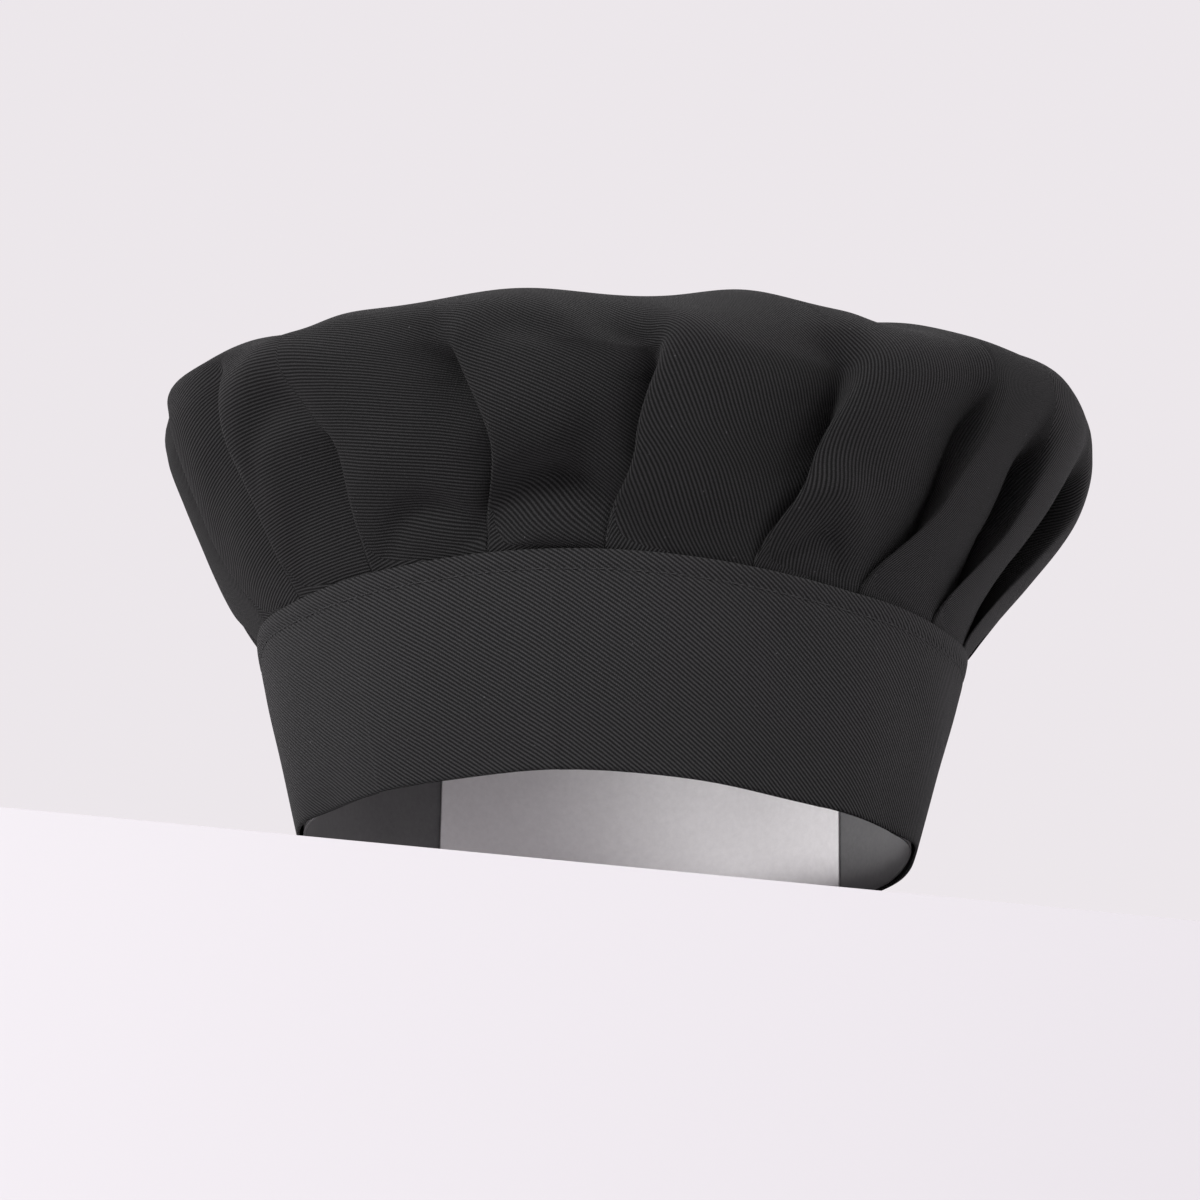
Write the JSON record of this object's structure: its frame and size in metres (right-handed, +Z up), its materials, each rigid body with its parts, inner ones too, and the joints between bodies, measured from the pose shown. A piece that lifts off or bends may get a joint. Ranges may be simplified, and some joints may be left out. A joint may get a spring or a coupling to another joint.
{
  "type": "chef toque",
  "caption": "Pleated mushroom-crown chef's hat on a stand-up band with a hook-and-loop back closure and a removable card former.",
  "frame": {"origin": "centre of the flat rim the hat stands on, under the middle of the crown", "axes": "+Z up through the crown; the centre front faces -Y; the closure is at +Y; +X is to the right in a front view"},
  "size_m": [0.2972, 0.2973, 0.1495],
  "materials": {
    "crown_twill": "fine black twill",
    "band_twill": "fine black twill",
    "black_thread": "spun polyester thread",
    "interlining": "stiff non-woven",
    "loop_tape": "brushed loop pile",
    "hook_tape": "moulded hooks",
    "label_satin": "woven satin",
    "grey_card": "uncoated grey card, white outside",
    "pale_card": "uncoated pale card"
  },
  "bodies": {
    "hat": {"crown": "crown_twill", "vent_binding": "crown_twill", "vent_bar_tack": "black_thread", "band": "band_twill", "band_interlining": "interlining", "band_topstitch": "black_thread", "size_label": "label_satin", "loop_strip": "loop_tape"},
    "closure": {"closure_tab": "band_twill", "tab_interlining": "interlining", "tab_stitching": "black_thread", "hook_strip": "hook_tape"},
    "former": {"former_ring": "grey_card", "former_panel": "pale_card"}
  },
  "joints": [
    {"name": "closure_peel", "type": "hinge", "parent": "hat", "child": "closure", "pos_m": [0.01354, 0.09636, 0], "axis": [-0.0348, -0.2474, -0.9683], "range_deg": [0, 80]},
    {"name": "former_slide", "type": "slide", "parent": "hat", "child": "former", "axis": [0, 0, -1], "range_m": [0, 0.1]}
  ]
}
